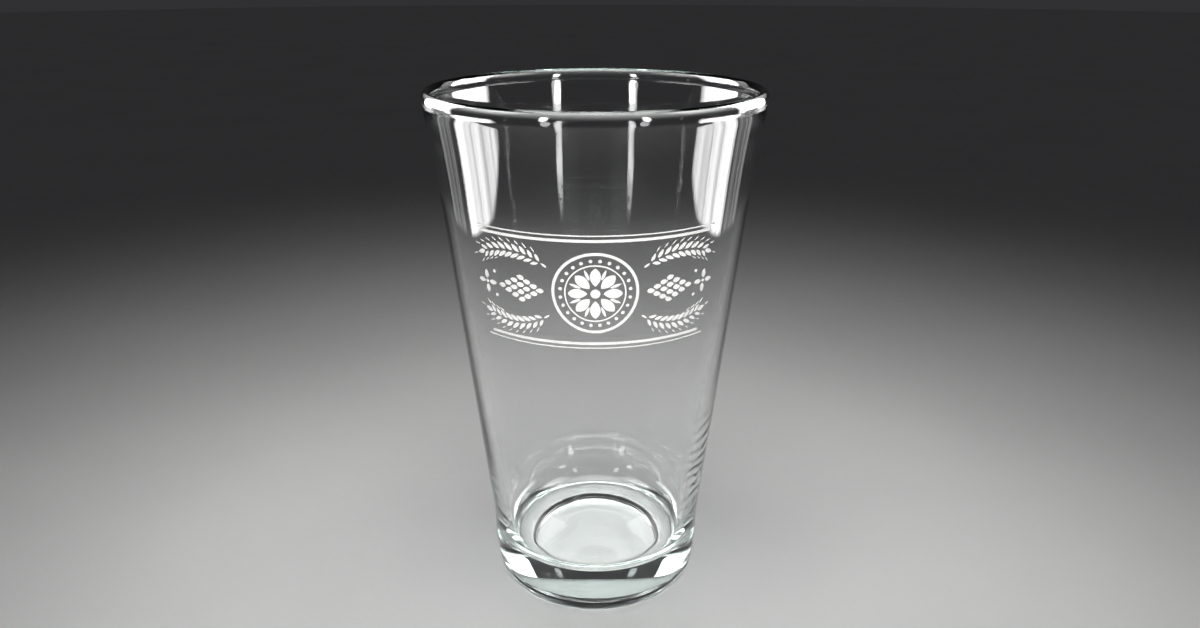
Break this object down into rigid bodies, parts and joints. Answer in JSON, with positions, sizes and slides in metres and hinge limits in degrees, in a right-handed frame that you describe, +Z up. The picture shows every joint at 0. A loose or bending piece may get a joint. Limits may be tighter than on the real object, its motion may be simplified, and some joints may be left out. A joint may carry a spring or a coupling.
{
  "type": "pint glass",
  "caption": "Tall conical drinking glass of clear pressed glass with a rolled lip, a thick base with a heel band, and a white ink frieze of barley, hops and a rosette on the front.",
  "frame": {"origin": "middle of the foot ring, on the surface that the glass stands on", "axes": "+Z up along the glass's axis, from the foot to the mouth; -Y towards the printed front; +X to the right of someone who faces the print"},
  "size_m": [0.0888, 0.0888, 0.1429],
  "materials": {
    "glass": "clear soda-lime glass, fire-polished",
    "print_ink": "opaque white fired-on ceramic ink, satin"
  },
  "bodies": {
    "root": {"glass_body": "glass", "print_rosette": "print_ink", "print_medallion_ring": "print_ink", "print_barley_upper_left": "print_ink", "print_barley_upper_right": "print_ink", "print_barley_lower_left": "print_ink", "print_barley_lower_right": "print_ink", "print_hop_cone_left": "print_ink", "print_hop_cone_right": "print_ink", "print_end_cross_left": "print_ink", "print_end_cross_right": "print_ink", "print_rules_upper": "print_ink", "print_rules_lower": "print_ink"}
  },
  "joints": []
}
